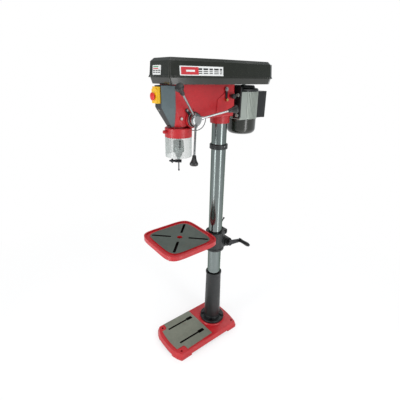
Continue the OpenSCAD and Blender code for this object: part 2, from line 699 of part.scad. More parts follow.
module guard_collar() {
    color(red) difference() {
        union() {
            ring(guard_r - 3, guard_r, guard_z, guard_top - 3, 0, spindle_y);
            translate([0, spindle_y, 0]) rotate_extrude() polygon([[38.02, guard_top - 8],
                [guard_r - 2, guard_top - 8], [guard_r, guard_top - 6], [guard_r - 4, guard_top],
                [38.02, guard_top]]);
            ring(38.02, 46, guard_top - 26, guard_top, 0, spindle_y);
            rod_z(guard_z, guard_top - 6, 7, guard_pin.x, guard_pin.y);
            rod_y(spindle_y - guard_r - 5, spindle_y - 40, 7, 0, guard_top - 16);
        }
        rod_z(guard_z - 1, guard_top - 16, 3 + fit, guard_pin.x, guard_pin.y);
        rod_y(spindle_y - guard_r - 10, spindle_y - 30, 3.2, 0, guard_top - 16);
        rod_z(guard_z - 20, guard_top - 30, guard_r - 3.2, 0, spindle_y);
    }
    color(black) translate([0, spindle_y - guard_r - 5, guard_top - 16]) rotate([90, 0, 0]) rotate_extrude()
        polygon([[0, -25], [3, -25], [3, 0], [7, 1], [8, 4], [8, 12], [6, 14], [0, 14]]);
}

module guard_shield() {
    color([0.75, 0.78, 0.8, 0.4]) difference() {
        ring(guard_r - 3, guard_r - 0.5, shield_z, guard_z - 0.5, 0, spindle_y);
        plate(concat([[0, spindle_y]],
            [for (a = [55, 80, 110, 140, 165]) [0, spindle_y] + 90 * [cos(a), sin(a)]]),
            shield_z - 1, guard_z + 1);
        shield_slot();
    }
    color(black) {
        rod_z(guard_z - 40, guard_top - 17, 3, guard_pin.x, guard_pin.y);
        rod_z(guard_z - 40, guard_z - 0.5, 6, guard_pin.x - 1, guard_pin.y);
    }
}

// Height-setting slot through the shield's front right wall
module shield_slot() {
    translate([0, spindle_y, 0]) rotate([0, 0, -28])
        box(guard_r - 8, guard_r + 4, -3, 3, guard_z - 52, guard_z - 8);
}

// Route of the thin interlock lead from the guard collar up into the head
lead_route = [[44, -91, 1342], [48, -86, 1342], [51, -77, 1341], [52, -66, 1340], [51, -50, 1342],
    [50, -36, 1347], [48, -24, 1354], [46, -14, 1364], [44, -7, 1377], [43, -4, 1388], [43, -3, 1396]];

function unit(v) = v / norm(v);

// Ring of points round the route at point k
function lead_ring(p, k, r, n) = let (t = unit(p[min(k + 1, len(p) - 1)] - p[max(k - 1, 0)]),
        a = unit(cross(t, [1, 0.2, 0.1])), b = cross(t, a))
    [for (i = [0:n - 1]) p[k] + r * (a * cos(i * 360 / n) + b * sin(i * 360 / n))];

module guard_lead() {
    n = 8;
    m = len(lead_route);
    points = [for (k = [0:m - 1]) each lead_ring(lead_route, k, 1.8, n)];
    sides = [for (k = [0:m - 2], i = [0:n - 1]) let (j = (i + 1) % n)
        [k * n + i, k * n + j, (k + 1) * n + j, (k + 1) * n + i]];
    ends = [[for (i = [n - 1:-1:0]) i], [for (i = [0:n - 1]) (m - 1) * n + i]];
    color(black) polyhedron(points, concat(sides, ends));
}

// ---------- spindle and chuck ----------

module quill() {
    teeth = rack_line(feed_line, feed_z, 3, floor(quill_travel / rack_p) + 4, 0.5);
    color(steel) difference() {
        rod_z(quill_bottom, quill_top, quill_r, 0, spindle_y);
        rod_z(quill_bottom - 1, quill_top + 1, 18, 0, spindle_y);
        rod_z(quill_bottom - 1, quill_bottom + 22, 26.02, 0, spindle_y);
        rod_z(quill_top - 18, quill_top + 1, 26.02, 0, spindle_y);
        prism_x(-17, 17) polygon(concat(teeth, [[spindle_y + 50, teeth[len(teeth) - 1].y],
            [spindle_y + 50, teeth[0].y]]));
    }
}

module quill_bearings() {
    color(steel) {
        ring(15 + fit, 26, quill_bottom + 1, quill_bottom + 21.5, 0, spindle_y);
        ring(15 + fit, 26, quill_top - 17.5, quill_top - 1, 0, spindle_y);
    }
}

module spindle() {
    color(steel) translate([0, spindle_y, 0]) {
        rod_z(quill_bottom - 6, quill_top - 5, 15);
        rod_z(quill_top - 6, total_h - 16, 11);
        rod_z(quill_bottom - 14, quill_bottom - 5, 12);
        translate([0, 0, chuck_top - 30]) cylinder(r1 = 7.6, r2 = 9, h = 34);
    }
}

module jaw_place(i) {
    translate([0, spindle_y, nose_z - 8]) rotate([0, 0, 90 + 120 * i]) translate([6.2, 0, 0])
        rotate([0, jaw_tilt, 0]) children();
}

module jaw_bore(r, low, high) { translate([0, 0, low]) cylinder(r = r, h = high - low); }

module chuck_body() {
    color([0.25, 0.25, 0.27]) difference() {
        translate([0, spindle_y, 0]) rotate_extrude() polygon([[0, nose_z], [13, nose_z],
            [20, sleeve_low - 0.5], [20, sleeve_top], [24.5, sleeve_top + 0.4], [25, sleeve_top + 2],
            [25, chuck_top - 4], [22, chuck_top], [0, chuck_top]]);
        translate([0, spindle_y, chuck_top - 30.5]) cylinder(r1 = 7.65, r2 = 9.08, h = 35);
        rod_z(nose_z - 1, nose_z + 46, 5.2, 0, spindle_y);
        for (i = [0:2]) jaw_place(i) jaw_bore(jaw_r + fit, -2, 66);
        for (a = [30:120:270]) translate([0, spindle_y, sleeve_top + 11]) rotate([0, 90, a])
            translate([0, 0, 19]) cylinder(r = 3.5, h = 10);
    }
}

module chuck_sleeve() {
    color(steel) difference() {
        ring(20 + fit, 26.5, sleeve_low, sleeve_top, 0, spindle_y);
        for (i = [0:23]) translate([0, spindle_y, 0]) rotate([0, 0, i * 15]) {
            box(23.4, 28, -1.1, 1.1, sleeve_top - 4, sleeve_top + 1);
            box(25.9, 28, -1.4, 1.4, sleeve_low + 3, sleeve_top - 7);
        }
    }
}

module jaw(i) {
    color(steel) intersection() {
        jaw_place(i) jaw_bore(jaw_r, -9, 44);
        translate([0, spindle_y, 0]) rotate([0, 0, 90 + 120 * i])
            box(bar_r + 0.06, 30, -10, 10, nose_z - 13, nose_z + 60);
    }
}

module chuck_key() {
    color(black) {
        difference() {
            translate([0, spindle_y, key_z]) rotate([0, -90, key_angle]) translate([0, 0, -14])
                rotate_extrude() polygon([[0, 0], [7, 0], [8, 2], [8, 30], [6, 34], [6, 42], [11, 43],
                    [11, 46], [6, 54], [4, 55], [4, 60], [2, 62], [0, 62]]);
            rod_z(key_z - 20, key_z + 20, bar_r + 0.02, 0, spindle_y);
        }
        rod_z(key_z - 46, nose_z + 6, bar_r, 0, spindle_y);
        translate([0, spindle_y, key_z - 46]) sphere(r = 4.5);
    }
}

// ---------- belt drive ----------

// Stepped V pulley turned about its own axis; bore is the radius of its hole
module step_pulley(steps, bore) {
    rotate_extrude() polygon(concat([[bore, 0]], [for (i = [0:3], q = [[0, 0.6], [0, 3], [-9, 5.7],
        [-9, 11.3], [0, 14], [0, 16.4]]) [steps[i] + q[0], step_h * i + q[1]]], [[bore, step_h * 4]]));
}

// Corner of the belt's section at angle a: q is its distance inside the pulley's rim and its height
function belt_point(y, r, a, z, q) = [(r - q[0]) * cos(a), y + (r - q[0]) * sin(a), z + q[1]];

// V belt at height z round pulleys at y1 and y2 with outer radii r1 and r2
module belt(y1, r1, y2, r2, z) {
    b = asin((r1 - r2) / (y2 - y1));
    n = 20;
    stops = concat([for (k = [0:n]) [y1, r1, 180 - b + (180 + 2 * b) * k / n]],
        [for (k = [0:n]) [y2, r2, b + (180 - 2 * b) * k / n]]);
    section = [[1, -4.6], [1, 4.6], [8, 2.4], [8, -2.4]];
    m = len(stops);
    polyhedron([for (s = stops, q = section) belt_point(s[0], s[1], s[2], z, q)],
        [for (k = [0:m - 1], j = [0:3]) let (l = (k + 1) % m, i = (j + 1) % 4)
            [k * 4 + j, k * 4 + i, l * 4 + i, l * 4 + j]]);
}

module front_belt() { color(black) belt(spindle_y, spindle_steps[1], idler_y, idler_steps[1], level[1]); }

module rear_belt() { color(black) belt(idler_y, idler_steps[2], motor_y, motor_steps[2], level[2]); }

module drive_sleeve() {
    color(steel) ring(11 + fit, 17, tray_z - 31, pulley_z + 60, 0, spindle_y);
}

module sleeve_bearings() {
    color(steel) {
        ring(17 + fit, 31, tray_z - 28, tray_z - 15, 0, spindle_y);
        ring(17 + fit, 31, tray_z - 14.5, tray_z - 1, 0, spindle_y);
    }
}

module spindle_pulley() {
    color([0.65, 0.66, 0.67]) translate([0, spindle_y, pulley_z]) difference() {
        step_pulley(spindle_steps, 17.02);
        translate([0, 0, -1]) cylinder(r1 = 40, r2 = 30, h = 20);
    }
}

module idler_bracket() {
    color(iron) translate([0, idler_y, 0]) {
        rod_z(tray_z + 3, tray_z + 8, 34);
        rod_z(tray_z + 3, pulley_z - 0.4, 15);
        rod_z(tray_z + 5, pulley_z + 72, 10);
        rod_z(pulley_z + 68.5, pulley_z + 72, 14);
    }
}

module idler_pulley() {
    color([0.65, 0.66, 0.67]) translate([0, idler_y, pulley_z]) step_pulley(idler_steps, 10 + fit);
}

// Plan of the belt cover at a given inset from its outermost rim
function cover_plan(i) = let (r = [10, 18, 18, 20, 20, 18, 18, 10], p = both_sides([[87 - i * 0.9,
        spindle_y - 103 + i], [126 - i, 35], [126 - i, 352 - i / 2], [100 - i / 2, column_y + 269 - i]]))
    [for (k = [0:7]) each corner(p[(k + 7) % 8], p[k], p[(k + 1) % 8], max(r[k] - i / 2, 5), 4)];

module hinge_place(y) { translate([-130.5, y, seam_z + 1]) rotate([-90, 0, 0]) children(); }

module pulley_tray() {
    color(black) difference() {
        union() {
            difference() {
                union() {
                    loft(cover_plan(14), tray_z, cover_plan(7), seam_z - 4);
                    plate(cover_plan(0), seam_z - 4.2, seam_z - 0.3);
                }
                loft(cover_plan(17), tray_z + 3, cover_plan(11), seam_z + 1);
            }
            for (y = [90, 260]) {
                hinge_place(y - 24) cylinder(r = 4.5, h = 14);
                hinge_place(y + 10) cylinder(r = 4.5, h = 14);
                hinge_place(y - 24) cylinder(r = 2, h = 48);
                for (s = [-24, 10]) box(-132, -122, y + s, y + s + 14, seam_z - 4.2, seam_z - 1.5);
            }
        }
        rod_z(tray_z - 1, tray_z + 4, 34, 0, spindle_y);
        plate(rounded(rect(-32, 32, motor_y - 62, motor_y + 34), 20), tray_z - 1, tray_z + 4);
    }
}

module cover_lid() {
    color(black) difference() {
        union() {
            plate(cover_plan(2), seam_z, seam_z + 5);
            loft(cover_plan(4), seam_z + 4, cover_plan(9), total_h - 13);
            loft(cover_plan(9), total_h - 13.2, cover_plan(22), total_h);
            for (y = [90, 260]) {
                hinge_place(y - 9.6) cylinder(r = 4.5, h = 19.2);
                box(-130, -122, y - 9.6, y + 9.6, seam_z + 1, seam_z + 4.6);
            }
        }
        loft(cover_plan(8), seam_z - 1, cover_plan(12), total_h - 14);
        loft(cover_plan(12), total_h - 14.2, cover_plan(24), total_h - 3);
        for (y = [90, 260]) hinge_place(y - 30) cylinder(r = 2 + fit, h = 60);
    }
}

// ---------- motor ----------

module motor_plate() {
    color(black) difference() {
        prism_y(187, 196) polygon(rounded(rect(-80, 80, motor_low + 8, tray_z - 8), 10));
        for (sx = [-1, 1], z = [motor_low + 24, motor_high - 14]) rod_y(180, 200, 5.1, sx * 64, z);
        for (x = [-38, 38]) rod_y(180, 190, 10.02, x, rod_z0);
        prism_y(180, 200) polygon(rounded(rect(-34, 34, motor_low, funnel_z + 62), 8));
    }
}

module slide_rods() {
    color(steel) for (x = [-38, 38]) rod_y(82, 190, 10, x, rod_z0);
}

// Outline of the finned housing
function finned(n) = [for (i = [0:n - 1], q = [[0, 0], [0, 0.42], [3, 0.5], [3, 0.92]])
    let (a = 360 * (i + q[1]) / n) (motor_r - q[0]) * [cos(a), sin(a)]];

module stator_housing() {
    color([0.75, 0.77, 0.76]) difference() {
        union() {
            translate([0, motor_y, 0]) plate(finned(54), motor_low, motor_high);
            for (sx = [-1, 1]) box(sx * 63 - 11, sx * 63 + 11, 196, motor_y - 40, motor_low, motor_high);
        }
        rod_z(motor_low - 1, motor_high + 1, 56, 0, motor_y);
        for (sx = [-1, 1], z = [motor_low + 24, motor_high - 14]) rod_y(190, 220, 5.1, sx * 64, z);
    }
    color(steel) for (sx = [-1, 1], z = [motor_low + 24, motor_high - 14])
        translate([sx * 64, 187, z]) rotate([90, 0, 0]) hex_bolt(5, 30);
}

module top_bell() {
    color(black) translate([0, motor_y, 0]) rotate_extrude() polygon([
        [10 + fit, motor_high + 10], [45, motor_high + 10],
        [50, motor_high + 0.2], [79.5, motor_high + 0.2], [80, motor_high + 12], [76, motor_high + 15],
        [62, motor_high + 17], [58, motor_high + 28], [54, motor_high + 30], [10 + fit, motor_high + 30]]);
}

module fan_cover() {
    low = motor_low - 82;
    color(black) difference() {
        translate([0, motor_y, 0]) rotate_extrude() polygon(concat([[0, low]],
            [for (a = [-90:15:0]) [50 + 28.5 * cos(a), low + 28.5 + 28.5 * sin(a)]],
            [[78.5, motor_low - 0.2], [75.5, motor_low - 0.2]],
            [for (a = [0:-15:-90]) [50 + 25.5 * cos(a), low + 28.5 + 25.5 * sin(a)]], [[0, low + 3]]));
        for (a = [0:30:330]) translate([0, motor_y, 0]) rotate([0, 0, a])
            box(18, 46, -3, 3, low - 1, low + 5);
    }
}

module rotor() {
    color(steel) translate([0, motor_y, 0]) {
        rod_z(motor_low - 70, pulley_z + 66, 10);
        rod_z(motor_low + 18, motor_high - 20, 50);
        rod_z(motor_low - 62, motor_low - 50, 22);
        for (a = [0:45:315]) rotate([0, 0, a]) box(20, 62, -1.5, 1.5, motor_low - 52, motor_low - 24);
        rod_z(motor_low - 55, motor_low - 51, 62);
    }
}

module motor_pulley() {
    color([0.65, 0.66, 0.67]) translate([0, motor_y, pulley_z]) step_pulley(motor_steps, 10.02);
}

module terminal_box() {
    color(black) difference() {
        union() {
            plate(rounded(rect(-52, 52, motor_y + 60, motor_y + 130), 8), motor_low + 1, motor_high);
            plate(rounded(rect(-54, 54, motor_y + 112, motor_y + 132), 8), motor_low, motor_high + 1);
        }
        rod_z(motor_low - 1, motor_high + 2, motor_r + 0.1, 0, motor_y);
        box(-47, 47, motor_y + 92, motor_y + 127, motor_low + 6, motor_high - 5);
    }
}

module tension_lever() {
    y = column_y - 25;
    z = tray_z - 22;
    color(steel) {
        rod_x(head_hw - 20, head_hw + 12, 6, y, z);
        rod_x(head_hw + 4, head_hw + 9, 10, y, z);
        prism_x(head_hw + 4.5, head_hw + 8.5) polygon(rounded([[y - 7, z + 4], [y - 4, z - 46],
            [y + 5, z - 46], [y + 7, z + 4]], 2));
        rod_x(head_hw + 4, head_hw + 16, 6.5, y, z - 48);
    }
}

module slide_lock() {
    y = column_y + 8;
    color(black) {
        rod_x(48.4, head_hw + 8, 5, y, rod_z0);
        translate([head_hw + 5, y, rod_z0]) rotate([0, 90, 0]) rotate_extrude()
            polygon([[0, 0], [7, 0], [8, 6], [12, 10], [13, 14], [12, 24], [9, 27], [0, 28]]);
    }
}

base();
column_support();
support_bolts();
column();
rack_collar();
head_casting();
cap_screws();
nose_cover();
switch_box();
switch_flap();
stop_button();
start_button();
feed_flange();
spring_cap();
return_spring();
guard_collar();
guard_shield();
guard_lead();
sleeve_bearings();
idler_bracket();
pulley_tray();
cover_lid();
front_belt();
rear_belt();
table_rack();
table_bracket();
tilt_bolt();
crank_shaft();
crank_grip();
bracket_lock();
table_arm();
table_lock();
table();
quill();
quill_bearings();
spindle();
chuck_body();
chuck_key();
chuck_sleeve();
jaw(0);  // jaw_1
jaw(1);  // jaw_2
jaw(2);  // jaw_3
drive_sleeve();
spindle_pulley();
idler_pulley();
motor_plate();
slide_rods();
stator_housing();
top_bell();
fan_cover();
terminal_box();
rotor();
motor_pulley();
feed_shaft();
feed_hub();
feed_rods();
feed_knobs();
depth_dial();
tension_lever();
slide_lock();
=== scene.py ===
"""Floor-standing drill press: finishes, rounded casting edges, labels, camera and studio light
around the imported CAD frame. Metres; +Z up, -Y towards the operator, +X to the operator's right."""
import json
import math

import bmesh
import bpy
from mathutils import Matrix, Vector
from mathutils.bvhtree import BVHTree


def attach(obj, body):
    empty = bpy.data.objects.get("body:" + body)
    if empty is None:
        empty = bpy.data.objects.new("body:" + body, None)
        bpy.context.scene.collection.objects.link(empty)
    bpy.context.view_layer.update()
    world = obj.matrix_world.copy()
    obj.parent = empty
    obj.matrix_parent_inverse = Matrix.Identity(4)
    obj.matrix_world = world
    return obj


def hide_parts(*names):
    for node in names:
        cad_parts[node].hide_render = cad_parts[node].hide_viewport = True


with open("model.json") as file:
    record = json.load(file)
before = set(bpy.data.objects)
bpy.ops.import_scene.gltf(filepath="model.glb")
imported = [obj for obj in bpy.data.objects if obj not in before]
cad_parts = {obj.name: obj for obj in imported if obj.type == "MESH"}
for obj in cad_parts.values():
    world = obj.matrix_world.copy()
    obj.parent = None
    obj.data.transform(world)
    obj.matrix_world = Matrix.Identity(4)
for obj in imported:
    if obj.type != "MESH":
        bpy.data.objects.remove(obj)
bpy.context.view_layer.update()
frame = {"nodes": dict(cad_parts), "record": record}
NODES = frame["nodes"]
BODY_OF = {node: body for body, names in frame["record"]["behaviour"]["bodies"].items() for node in names}
SLOT_OF = {row["node"]: row["material_slot"] for row in frame["record"]["subparts"]}

# ---------------------------------------------------------------- camera
# The viewing angle of the photograph: azimuth, downward pitch and roll in degrees.
AZIMUTH, PITCH, ROLL = 51.707, 22.743, 0.987
EYE = Vector((1.1888, -0.9353, 1.5805))
LENS, SENSOR = 26.65, 36.0


def make_camera():
    a, p, r = (math.radians(v) for v in (AZIMUTH, PITCH, ROLL))
    back = Vector((math.sin(a) * math.cos(p), -math.cos(a) * math.cos(p), math.sin(p)))
    right = Vector((math.cos(a), math.sin(a), 0.0))
    up = back.cross(right)
    x = right * math.cos(r) + up * math.sin(r)
    y = -right * math.sin(r) + up * math.cos(r)
    data = bpy.data.cameras.new("camera")
    data.lens, data.sensor_width, data.sensor_fit = LENS, SENSOR, "HORIZONTAL"
    data.clip_end = 40.0
    obj = bpy.data.objects.new("camera", data)
    obj.matrix_world = Matrix((x, y, back)).transposed().to_4x4()
    obj.location = EYE
    bpy.context.scene.collection.objects.link(obj)
    bpy.context.scene.camera = obj


make_camera()

# ---------------------------------------------------------------- materials


class Surface:
    """One procedural material, built up from layers. Scales are in features per metre."""

    def __init__(self, name, color, roughness=0.4, metallic=0.0, coat=0.0, coat_roughness=0.08,
                 specular=0.5, anisotropic=0.0, alpha=1.0, transmission=0.0, ior=1.5):
        self.mat = bpy.data.materials.new(name)
        self.mat.use_nodes = True
        self.tree = self.mat.node_tree
        self.tree.nodes.clear()
        self.out = self.add("ShaderNodeOutputMaterial")
        self.bsdf = self.add("ShaderNodeBsdfPrincipled")
        self.link(self.bsdf.outputs[0], self.out.inputs[0])
        self.coord = self.add("ShaderNodeTexCoord").outputs["Object"]
        self.color, self.rough, self.normal = None, None, None
        self.base, self.base_rough = (*color[:3], 1.0), roughness
        b = self.bsdf.inputs
        b["Base Color"].default_value = self.base
        b["Roughness"].default_value = roughness
        b["Metallic"].default_value = metallic
        b["Coat Weight"].default_value = coat
        b["Coat Roughness"].default_value = coat_roughness
        b["Specular IOR Level"].default_value = specular
        b["Anisotropic"].default_value = anisotropic
        b["Alpha"].default_value = alpha
        b["Transmission Weight"].default_value = transmission
        b["IOR"].default_value = ior

    def add(self, kind, **values):
        node = self.tree.nodes.new(kind)
        for key, value in values.items():
            if hasattr(node, key):
                setattr(node, key, value)
            else:
                node.inputs[key].default_value = value
        return node

    def link(self, a, b):
        self.tree.links.new(a, b)

    def place(self, stretch):
        """Object coordinates scaled by stretch along X, Y and Z."""
        node = self.add("ShaderNodeMapping")
        node.inputs["Scale"].default_value = stretch
        self.link(self.coord, node.inputs["Vector"])
        return node.outputs[0]

    def noise(self, scale, detail=3.0, rough=0.55, stretch=(1, 1, 1)):
        node = self.add("ShaderNodeTexNoise")
        node.inputs["Scale"].default_value = scale
        node.inputs["Detail"].default_value = detail
        node.inputs["Roughness"].default_value = rough
        self.link(self.place(stretch), node.inputs["Vector"])
        return node.outputs["Fac"]

    def cells(self, scale, stretch=(1, 1, 1)):
        node = self.add("ShaderNodeTexVoronoi")
        node.inputs["Scale"].default_value = scale
        self.link(self.place(stretch), node.inputs["Vector"])
        return node.outputs["Distance"]

    def spread(self, value, low, high, to_low=0.0, to_high=1.0):
        node = self.add("ShaderNodeMapRange")
        for key, v in (("From Min", low), ("From Max", high), ("To Min", to_low), ("To Max", to_high)):
            node.inputs[key].default_value = v
        self.link(value, node.inputs["Value"])
        return node.outputs[0]

    def tint(self, mask, color, amount=1.0):
        """Paints color over the base where mask is 1."""
        node = self.add("ShaderNodeMix", data_type="RGBA")
        factor = self.spread(mask, 0.0, 1.0, 0.0, amount)
        self.link(factor, node.inputs[0])
        if self.color is None:
            node.inputs[6].default_value = self.base
        else:
            self.link(self.color, node.inputs[6])
        node.inputs[7].default_value = (*color[:3], 1.0)
        self.color = node.outputs[2]
        self.link(self.color, self.bsdf.inputs["Base Color"])
        return self

    def gloss(self, mask, to, amount=1.0):
        """Moves the roughness to a value where mask is 1."""
        node = self.add("ShaderNodeMix", data_type="FLOAT")
        self.link(self.spread(mask, 0.0, 1.0, 0.0, amount), node.inputs[0])
        if self.rough is None:
            node.inputs[2].default_value = self.base_rough
        else:
            self.link(self.rough, node.inputs[2])
        node.inputs[3].default_value = to
        self.rough = node.outputs[0]
        self.link(self.rough, self.bsdf.inputs["Roughness"])
        return self

    def bump(self, height, strength, distance):
        node = self.add("ShaderNodeBump")
        node.inputs["Strength"].default_value = strength
        node.inputs["Distance"].default_value = distance
        self.link(height, node.inputs["Height"])
        if self.normal is not None:
            self.link(self.normal, node.inputs["Normal"])
        self.normal = node.outputs[0]
        self.link(self.normal, self.bsdf.inputs["Normal"])
        return self

    def edges(self, radius):
        """1 along convex and concave edges within radius, 0 on open faces."""
        bevel = self.add("ShaderNodeBevel", samples=4)
        bevel.inputs["Radius"].default_value = radius
        geo = self.add("ShaderNodeNewGeometry")
        dot = self.add("ShaderNodeVectorMath", operation="DOT_PRODUCT")
        self.link(bevel.outputs[0], dot.inputs[0])
        self.link(geo.outputs["Normal"], dot.inputs[1])
        return self.spread(dot.outputs["Value"], 0.985, 0.90)

    def both(self, a, b):
        node = self.add("ShaderNodeMath", operation="MULTIPLY")
        self.link(a, node.inputs[0])
        self.link(b, node.inputs[1])
        return node.outputs[0]

    def hollow_shade(self, color, distance=0.03, amount=0.5):
        """Painted shade: darkens the colour in hollows found by ambient occlusion, broken up by noise."""
        ao = self.add("ShaderNodeAmbientOcclusion", samples=4)
        ao.inputs["Distance"].default_value = distance
        hollow = self.spread(ao.outputs["AO"], 0.75, 0.25)
        return self.tint(self.both(hollow, self.spread(self.noise(60), 0.3, 0.6)), color, amount)


def scaled(color, factor):
    return tuple(min(1.0, c * factor) for c in color[:3])


def cast_paint(name, color, roughness=0.3, coat=0.5, lumps=0.5, wear=(0.25, 0.25, 0.25)):
    """Enamel on a sand casting: soft lumps, orange peel, worn edges."""
    s = Surface(name, color, roughness, coat=coat, coat_roughness=0.12)
    s.tint(s.spread(s.noise(7, 4), 0.35, 0.7), scaled(color, 0.72), 0.7)
    s.tint(s.spread(s.noise(90, 3), 0.45, 0.75), scaled(color, 1.25), 0.25)
    # painted shade: darkens the paint in hollows and creases
    s.hollow_shade(scaled(color, 0.18), 0.02, 0.55)
    chips = s.both(s.edges(0.0016), s.spread(s.noise(220, 4), 0.56, 0.66))
    s.tint(chips, wear, 0.55)
    s.gloss(s.spread(s.noise(35, 4), 0.4, 0.7), roughness + 0.16, 0.7)
    s.bump(s.noise(95, 2), 0.30 * lumps, 0.004)
    s.bump(s.noise(620, 2), 0.16 * lumps, 0.0012)
    return s.mat


def moulded(name, color, roughness=0.35, coat=0.0, grain=0.2, specular=0.5):
    """Injection-moulded plastic with a fine texture and handling marks."""
    s = Surface(name, color, roughness, coat=coat, specular=specular)
    s.tint(s.spread(s.noise(9, 3), 0.4, 0.7), scaled(color, 0.75), 0.5)
    s.tint(s.both(s.edges(0.001), s.spread(s.noise(150, 3), 0.5, 0.65)), scaled(color, 1.6), 0.4)
    s.gloss(s.spread(s.noise(24, 5), 0.45, 0.7), roughness + 0.14, 0.8)
    s.bump(s.noise(1500, 2), grain, 0.0004)
    s.bump(s.noise(18, 2), 0.05, 0.004)
    return s.mat


def ground(name, color, roughness=0.2, lines=(30, 30, 1400), scratch=0.10, stain=0.35, wear_tint=None,
           edge=(1, 1, 1)):
    """Ground or turned metal whose fine marks run across the stretched axis; edge tints it at
    grazing angles."""
    s = Surface(name, color, roughness, metallic=1.0, anisotropic=0.3)
    s.bsdf.inputs["Specular Tint"].default_value = (*edge, 1.0)
    s.tint(s.spread(s.noise(6, 5), 0.45, 0.8), scaled(color, 0.72), stain)
    s.tint(s.spread(s.noise(1, 3, 0.6, lines), 0.5, 0.8), scaled(color, 0.85), 0.35)
    if wear_tint:
        s.tint(s.spread(s.noise(42, 6, 0.7), 0.58, 0.72), wear_tint, 0.45)
    s.gloss(s.spread(s.noise(14, 4), 0.35, 0.75), roughness + 0.12, 0.8)
    s.bump(s.noise(1, 2, 0.5, lines), scratch, 0.0005)
    return s.mat


def machined_iron(name, color):
    """Milled grey iron with cutter arcs, oil stains and clamping scars."""
    s = Surface(name, color, 0.5, metallic=0.35, anisotropic=0.2, specular=0.3)
    s.tint(s.spread(s.noise(11, 6, 0.65), 0.42, 0.72), scaled(color, 0.66), 0.6)
    s.tint(s.spread(s.noise(70, 5, 0.7), 0.5, 0.75), scaled(color, 1.3), 0.45)
    s.tint(s.spread(s.noise(26, 4), 0.62, 0.74), (0.20, 0.11, 0.07), 0.35)
    s.gloss(s.spread(s.noise(9, 5), 0.4, 0.7), 0.6, 0.8)
    s.bump(s.noise(1, 3, 0.6, (900, 40, 40)), 0.18, 0.0004)
    s.bump(s.noise(240, 4), 0.12, 0.0006)
    return s.mat


def fins(name, color, roughness=0.33):
    """Extruded and tumbled aluminium."""
    s = Surface(name, color, roughness, metallic=0.45, specular=0.35)
    s.tint(s.spread(s.noise(20, 5), 0.4, 0.75), scaled(color, 0.82), 0.4)
    s.tint(s.spread(s.noise(1, 3, 0.5, (700, 700, 12)), 0.5, 0.8), scaled(color, 0.9), 0.25)
    # painted shade: darkens the aluminium between the fins and in other hollows
    s.hollow_shade((0.05, 0.05, 0.045), 0.006, 0.6)
    s.gloss(s.spread(s.noise(40, 4), 0.4, 0.7), roughness + 0.15, 0.7)
    s.bump(s.noise(1, 2, 0.5, (900, 900, 20)), 0.12, 0.0005)
    return s.mat


def rubber(name, color=(0.018, 0.018, 0.018)):
    s = Surface(name, color, 0.68)
    s.tint(s.spread(s.noise(60, 5), 0.45, 0.7), (0.06, 0.058, 0.055), 0.5)
    s.bump(s.noise(800, 3), 0.25, 0.0005)
    return s.mat


def clear_plastic():
    """Clear sheet, denser where it is seen on edge."""
    s = Surface("clear_guard", (0.44, 0.48, 0.46), 0.12, ior=1.55)
    s.tint(s.spread(s.noise(9, 4), 0.4, 0.7), (0.34, 0.38, 0.37), 0.4)
    s.gloss(s.spread(s.noise(120, 6, 0.7), 0.5, 0.75), 0.35, 0.7)
    s.bump(s.noise(1, 3, 0.6, (60, 60, 700)), 0.08, 0.0004)
    weight = s.add("ShaderNodeLayerWeight", Blend=0.35)
    s.link(s.spread(weight.outputs["Facing"], 0.15, 0.85, 0.30, 0.80), s.bsdf.inputs["Alpha"])
    return s.mat


MAT = {
    "red_paint": cast_paint("red_paint", (0.47, 0.008, 0.014), 0.38, 0.15, 0.7, (0.16, 0.02, 0.02)),
    "black_paint": cast_paint("black_paint", (0.009, 0.011, 0.012), 0.42, 0.08, 0.9, (0.09, 0.09, 0.09)),
    "cover_gloss": moulded("cover_gloss", (0.012, 0.014, 0.009), 0.20, 0.5, 0.05),
    # nose_grey's grey-blue is a painted sheen: the lights reflected on the sides of a black glossy nose cover
    "nose_grey": cast_paint("nose_grey", (0.085, 0.120, 0.130), 0.36, 0.15, 0.25, (0.24, 0.26, 0.26)),
    "ground_steel": ground("ground_steel", (0.205, 0.235, 0.230), 0.15, edge=(0.35, 0.42, 0.34)),
    "bright_steel": ground("bright_steel", (0.38, 0.39, 0.39), 0.20, (500, 500, 500), 0.04, 0.2),
    "zinc": ground("zinc", (0.62, 0.62, 0.60), 0.30, (400, 400, 400), 0.08, 0.4),
    "machined_iron": machined_iron("machined_iron", (0.215, 0.225, 0.18)),
    "table_iron": machined_iron("table_iron", (0.100, 0.118, 0.102)),
    "black_oxide": ground("black_oxide", (0.055, 0.056, 0.060), 0.36, (300, 300, 300), 0.12, 0.3,
                          (0.14, 0.135, 0.13)),
    "rack_steel": ground("rack_steel", (0.12, 0.12, 0.12), 0.36, (300, 300, 300), 0.12, 0.5),
    "aluminium": fins("aluminium", (0.40, 0.44, 0.40), 0.46),
    "pulley_alu": fins("pulley_alu", (0.64, 0.65, 0.66), 0.28),
    "switch_yellow": moulded("switch_yellow", (0.86, 0.50, 0.004), 0.30, 0.2, 0.04),
    "button_red": moulded("button_red", (0.62, 0.02, 0.012), 0.28, 0.3, 0.08),
    "button_green": moulded("button_green", (0.02, 0.30, 0.07), 0.28, 0.3, 0.08),
    "knob_black": moulded("knob_black", (0.016, 0.016, 0.016), 0.34, 0.15, 0.25),
    "clear_guard": clear_plastic(),
    "belt_rubber": rubber("belt_rubber"),
    "lead_black": rubber("lead_black", (0.014, 0.014, 0.015)),
}
MAT["black_plastic"] = moulded("black_plastic", (0.02, 0.02, 0.022), 0.4, 0.0, 0.3)
